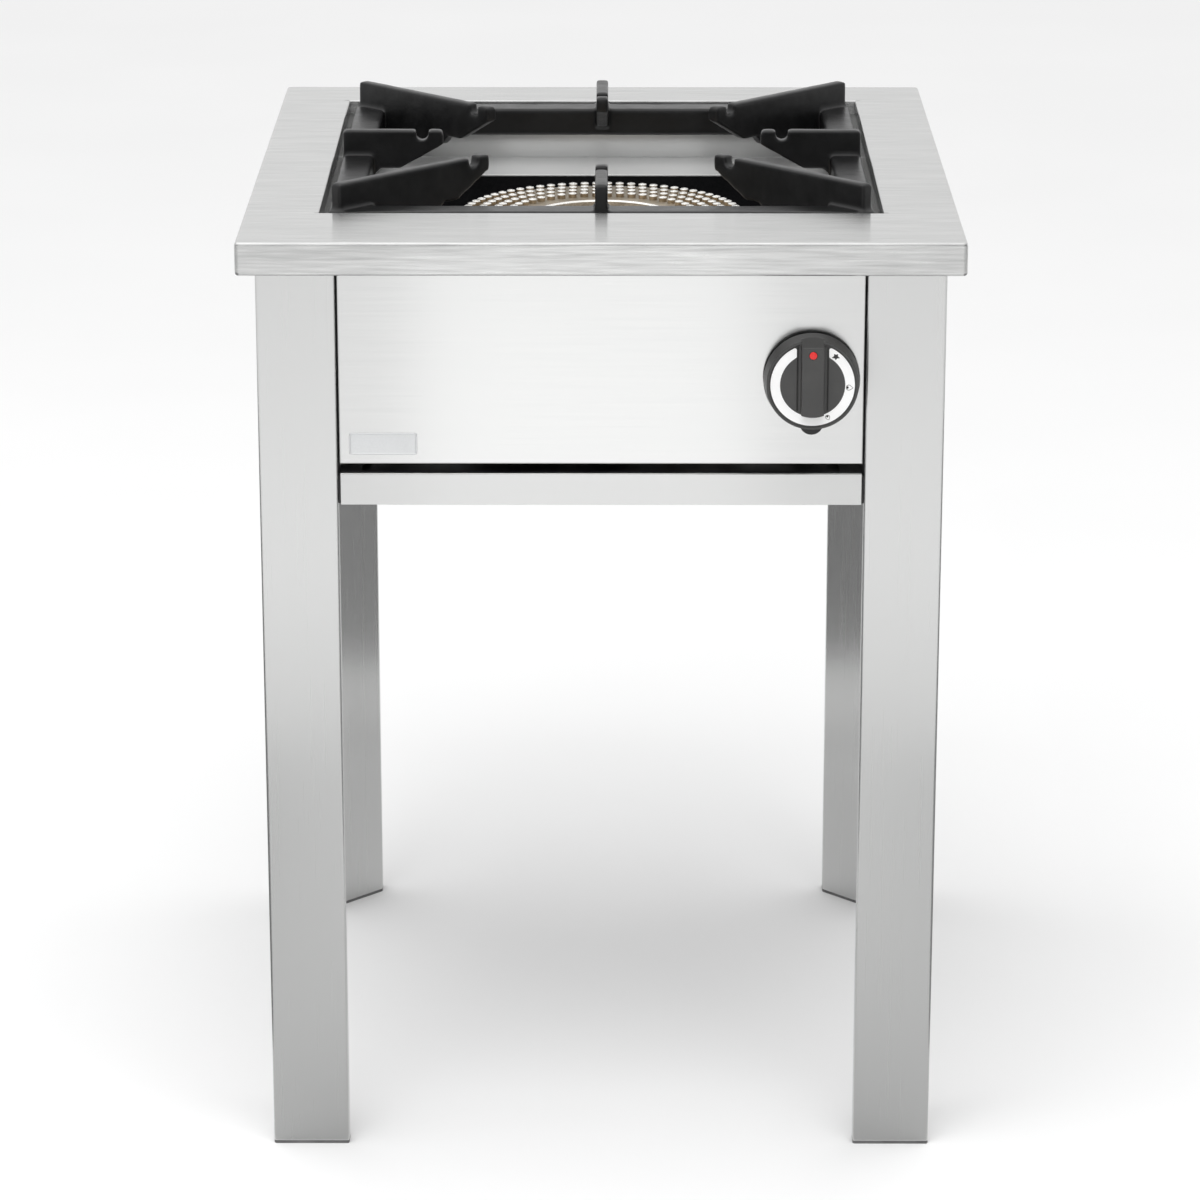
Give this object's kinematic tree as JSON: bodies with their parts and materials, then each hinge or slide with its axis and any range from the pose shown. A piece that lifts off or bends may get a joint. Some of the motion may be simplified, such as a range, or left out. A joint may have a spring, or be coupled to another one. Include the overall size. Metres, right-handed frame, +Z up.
{
  "type": "gas stool cooker",
  "caption": "Free-standing stainless gas stool cooker: ring burner, lift-off cast-iron pan support, push-and-turn knob, pull-out drip tray, straight legs.",
  "frame": {"origin": "on the floor, under the middle of the object's box", "axes": "+Z up, -Y towards the user and the knob, +X to the user's right"},
  "size_m": [0.55, 0.628, 0.76],
  "materials": {
    "stainless": "fine horizontal brushing, satin",
    "cast_iron_black": "matt black enamelled cast iron, slightly grainy",
    "enamel_black": "black enamel on steel",
    "burner_alloy": "sand-cast alloy with bright machined pin tops",
    "burner_casting": "raw grey casting",
    "tap_brass": "turned brass",
    "copper": "drawn copper tube",
    "steel_plated": "zinc-plated steel",
    "aluminised": "aluminised steel strip",
    "magnet_case": "turned aluminium",
    "knob_plastic": "dark grey moulded plastic",
    "dial_white": "white print",
    "marker_red": "red paint",
    "foot_plastic": "black plastic",
    "badge_metal": "satin plate"
  },
  "bodies": {
    "frame": {"top_plate": "stainless", "control_panel": "stainless", "rear_panel": "stainless", "side_panel_left": "stainless", "side_panel_right": "stainless", "burner_well": "stainless", "tray_runner_left": "stainless", "tray_runner_right": "stainless", "leg_front_left": "stainless", "foot_front_left": "foot_plastic", "leg_head_front_left": "steel_plated", "leg_front_right": "stainless", "foot_front_right": "foot_plastic", "leg_head_front_right": "steel_plated", "leg_rear_left": "stainless", "foot_rear_left": "foot_plastic", "leg_head_rear_left": "steel_plated", "leg_rear_right": "stainless", "foot_rear_right": "foot_plastic", "leg_head_rear_right": "steel_plated", "burner_box": "enamel_black", "burner_bar_front": "aluminised", "burner_bar_rear": "aluminised", "jet_bracket": "aluminised", "pilot_bracket": "aluminised", "pipe_clip_front": "aluminised", "pipe_clip_rear": "aluminised", "burner_body": "burner_casting", "tap_lock_nut": "steel_plated", "tap_spring": "steel_plated", "inlet_pipe": "steel_plated", "inlet_pipe_nut": "steel_plated", "thermocouple": "steel_plated", "gas_tap": "tap_brass", "jet_holder": "tap_brass", "burner_jet": "tap_brass", "inlet_nipple": "tap_brass", "inlet_lock_nut": "tap_brass", "burner_pipe_nut_tap": "tap_brass", "burner_pipe_nut_jet": "tap_brass", "pilot_burner": "tap_brass", "tap_magnet": "magnet_case", "burner_pipe": "copper", "pilot_tube": "copper", "thermocouple_lead": "copper", "badge_plate": "badge_metal"},
    "pan_support": {"pan_support": "cast_iron_black"},
    "burner_cap": {"burner_cap": "burner_alloy"},
    "drip_tray": {"drip_tray": "stainless"},
    "air_shutter": {"air_shutter": "steel_plated", "shutter_screw": "steel_plated"},
    "tap_plunger": {"thrust_washer": "steel_plated"},
    "knob": {"knob": "knob_plastic", "knob_dial": "dial_white", "knob_marker": "marker_red", "spindle": "steel_plated"}
  },
  "joints": [
    {"name": "pan_support_lift", "type": "slide", "parent": "frame", "child": "pan_support", "axis": [0, 0, 1], "range_m": [0, 0.12]},
    {"name": "burner_cap_lift", "type": "slide", "parent": "frame", "child": "burner_cap", "axis": [0, 0, 1], "range_m": [0, 0.08]},
    {"name": "drip_tray_slide", "type": "slide", "parent": "frame", "child": "drip_tray", "axis": [0, -1, 0], "range_m": [0, 0.4]},
    {"name": "air_shutter_slide", "type": "slide", "parent": "frame", "child": "air_shutter", "axis": [0, -1, 0], "range_m": [0, 0.012]},
    {"name": "knob_push", "type": "slide", "parent": "frame", "child": "tap_plunger", "axis": [0, 1, 0], "range_m": [0, 0.004], "stiffness_N_per_m": 2000, "springref_m": -0.003, "deforming": ["tap_spring"]},
    {"name": "knob_turn", "type": "hinge", "parent": "tap_plunger", "child": "knob", "pos_m": [0.1595, -0.3, 0.632], "axis": [0, -1, 0], "range_deg": [0, 150]}
  ]
}
